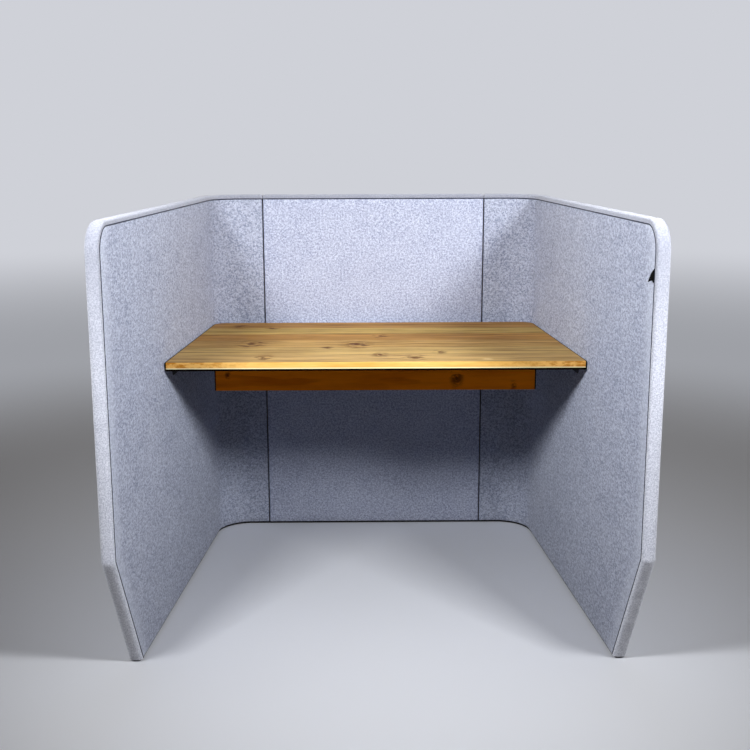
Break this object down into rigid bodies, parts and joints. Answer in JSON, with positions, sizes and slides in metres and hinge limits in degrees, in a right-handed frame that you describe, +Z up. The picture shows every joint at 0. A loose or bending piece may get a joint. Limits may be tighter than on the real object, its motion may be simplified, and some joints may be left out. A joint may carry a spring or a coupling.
{
  "type": "acoustic work booth",
  "caption": "Free-standing acoustic work booth: padded felt panels with splayed wings and round rear corners wrap a pine desktop on angle cleats, and stand on levelling glides.",
  "frame": {"origin": "on the floor, at the centre of the booth's plan", "axes": "+X to the right as seen from the open front, +Y from the open front to the back panel, +Z up"},
  "size_m": [1.3458, 1.3257, 1.1693],
  "materials": {
    "felt": "pale blue-grey melange wool felt over foam, matt",
    "plywood": "raw board, hidden",
    "base_black": "black moulded strip",
    "glide_black": "black moulded pad",
    "insert_brass": "turned",
    "zinc_steel": "zinc plated",
    "cleat_steel": "black powder coat",
    "pine": "honey-brown knotty pine, satin varnish",
    "tag_black": "plain black woven tab"
  },
  "bodies": {
    "booth": {"left_wing_core": "plywood", "left_wing_inner_pad": "felt", "left_wing_outer_pad": "felt", "left_wing_edge_strip": "felt", "left_wing_base_strip": "base_black", "right_wing_core": "plywood", "right_wing_inner_pad": "felt", "right_wing_outer_pad": "felt", "right_wing_edge_strip": "felt", "right_wing_base_strip": "base_black", "centre_core": "plywood", "centre_inner_pad": "felt", "centre_outer_pad": "felt", "centre_edge_strip": "felt", "centre_base_strip": "base_black", "left_lower_hook_plate": "zinc_steel", "left_lower_slot_plate": "zinc_steel", "left_upper_hook_plate": "zinc_steel", "left_upper_slot_plate": "zinc_steel", "right_lower_hook_plate": "zinc_steel", "right_lower_slot_plate": "zinc_steel", "right_upper_hook_plate": "zinc_steel", "right_upper_slot_plate": "zinc_steel", "desktop": "pine", "desk_rail": "pine", "left_cleat": "cleat_steel", "left_wall_screw_1": "zinc_steel", "left_wall_screw_2": "zinc_steel", "left_desk_screw_1": "zinc_steel", "left_desk_screw_2": "zinc_steel", "right_cleat": "cleat_steel", "right_wall_screw_1": "zinc_steel", "right_wall_screw_2": "zinc_steel", "right_desk_screw_1": "zinc_steel", "right_desk_screw_2": "zinc_steel", "rail_screw_1": "zinc_steel", "rail_screw_2": "zinc_steel", "rail_screw_3": "zinc_steel", "seam_tag": "tag_black", "left_toe_glide_insert": "insert_brass", "left_rear_glide_insert": "insert_brass", "right_toe_glide_insert": "insert_brass", "right_rear_glide_insert": "insert_brass", "centre_left_glide_insert": "insert_brass", "centre_right_glide_insert": "insert_brass"},
    "left_toe_glide_pad": {"left_toe_glide_pad": "glide_black"},
    "left_toe_glide_stem": {"left_toe_glide_stem": "zinc_steel"},
    "left_rear_glide_pad": {"left_rear_glide_pad": "glide_black"},
    "left_rear_glide_stem": {"left_rear_glide_stem": "zinc_steel"},
    "right_toe_glide_pad": {"right_toe_glide_pad": "glide_black"},
    "right_toe_glide_stem": {"right_toe_glide_stem": "zinc_steel"},
    "right_rear_glide_pad": {"right_rear_glide_pad": "glide_black"},
    "right_rear_glide_stem": {"right_rear_glide_stem": "zinc_steel"},
    "centre_left_glide_pad": {"centre_left_glide_pad": "glide_black"},
    "centre_left_glide_stem": {"centre_left_glide_stem": "zinc_steel"},
    "centre_right_glide_pad": {"centre_right_glide_pad": "glide_black"},
    "centre_right_glide_stem": {"centre_right_glide_stem": "zinc_steel"}
  },
  "joints": [
    {"name": "left_toe_glide_travel", "type": "slide", "parent": "booth", "child": "left_toe_glide_pad", "axis": [0, 0, -1], "range_m": [0, 0.01]},
    {"name": "left_toe_glide_turn", "type": "hinge", "parent": "left_toe_glide_pad", "child": "left_toe_glide_stem", "pos_m": [-0.63572, -0.40041, 0], "axis": [0, 0, -1], "range_deg": [0, 2880]},
    {"name": "left_rear_glide_travel", "type": "slide", "parent": "booth", "child": "left_rear_glide_pad", "axis": [0, 0, -1], "range_m": [0, 0.01]},
    {"name": "left_rear_glide_turn", "type": "hinge", "parent": "left_rear_glide_pad", "child": "left_rear_glide_stem", "pos_m": [-0.56801, 0.45993, 0], "axis": [0, 0, -1], "range_deg": [0, 2880]},
    {"name": "right_toe_glide_travel", "type": "slide", "parent": "booth", "child": "right_toe_glide_pad", "axis": [0, 0, -1], "range_m": [0, 0.01]},
    {"name": "right_toe_glide_turn", "type": "hinge", "parent": "right_toe_glide_pad", "child": "right_toe_glide_stem", "pos_m": [0.63572, -0.40041, 0], "axis": [0, 0, -1], "range_deg": [0, 2880]},
    {"name": "right_rear_glide_travel", "type": "slide", "parent": "booth", "child": "right_rear_glide_pad", "axis": [0, 0, -1], "range_m": [0, 0.01]},
    {"name": "right_rear_glide_turn", "type": "hinge", "parent": "right_rear_glide_pad", "child": "right_rear_glide_stem", "pos_m": [0.56801, 0.45993, 0], "axis": [0, 0, -1], "range_deg": [0, 2880]},
    {"name": "centre_left_glide_travel", "type": "slide", "parent": "booth", "child": "centre_left_glide_pad", "axis": [0, 0, -1], "range_m": [0, 0.01]},
    {"name": "centre_left_glide_turn", "type": "hinge", "parent": "centre_left_glide_pad", "child": "centre_left_glide_stem", "pos_m": [-0.2905, 0.6438, 0], "axis": [0, 0, -1], "range_deg": [0, 2880]},
    {"name": "centre_right_glide_travel", "type": "slide", "parent": "booth", "child": "centre_right_glide_pad", "axis": [0, 0, -1], "range_m": [0, 0.01]},
    {"name": "centre_right_glide_turn", "type": "hinge", "parent": "centre_right_glide_pad", "child": "centre_right_glide_stem", "pos_m": [0.2905, 0.6438, 0], "axis": [0, 0, -1], "range_deg": [0, 2880]}
  ],
  "couplings": [
    {"joint": "left_toe_glide_turn", "follows": "left_toe_glide_travel", "rad_per_m": 5026.5},
    {"joint": "left_rear_glide_turn", "follows": "left_rear_glide_travel", "rad_per_m": 5026.5},
    {"joint": "right_toe_glide_turn", "follows": "right_toe_glide_travel", "rad_per_m": 5026.5},
    {"joint": "right_rear_glide_turn", "follows": "right_rear_glide_travel", "rad_per_m": 5026.5},
    {"joint": "centre_left_glide_turn", "follows": "centre_left_glide_travel", "rad_per_m": 5026.5},
    {"joint": "centre_right_glide_turn", "follows": "centre_right_glide_travel", "rad_per_m": 5026.5}
  ]
}
